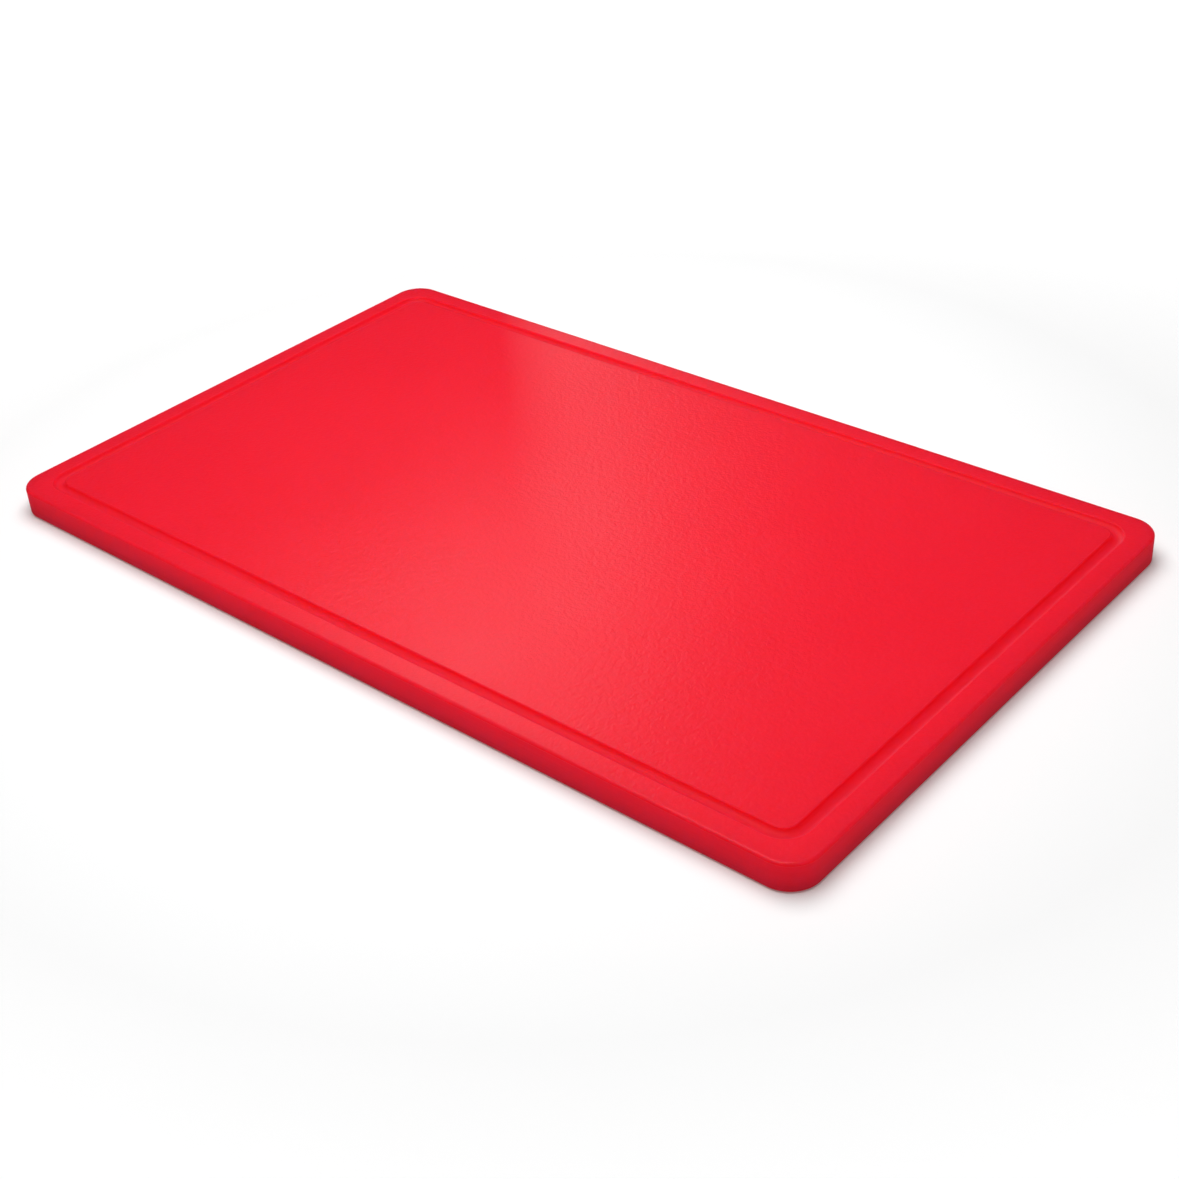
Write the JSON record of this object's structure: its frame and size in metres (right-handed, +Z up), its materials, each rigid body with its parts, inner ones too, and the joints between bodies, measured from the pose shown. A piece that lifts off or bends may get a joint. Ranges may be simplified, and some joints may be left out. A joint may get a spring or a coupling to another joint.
{
  "type": "cutting board",
  "caption": "Rectangular red plastic cutting board with rounded corners, eased edges and a juice groove all round its top face.",
  "frame": {"origin": "middle of the underside, on the surface that the board rests on", "axes": "+X along the board's length, +Y along its width, +Z up out of the grooved cutting face"},
  "size_m": [0.5, 0.3, 0.015],
  "materials": {
    "board": "satin, finely stippled high-density polyethylene"
  },
  "bodies": {
    "root": {"board": "board"}
  },
  "joints": []
}
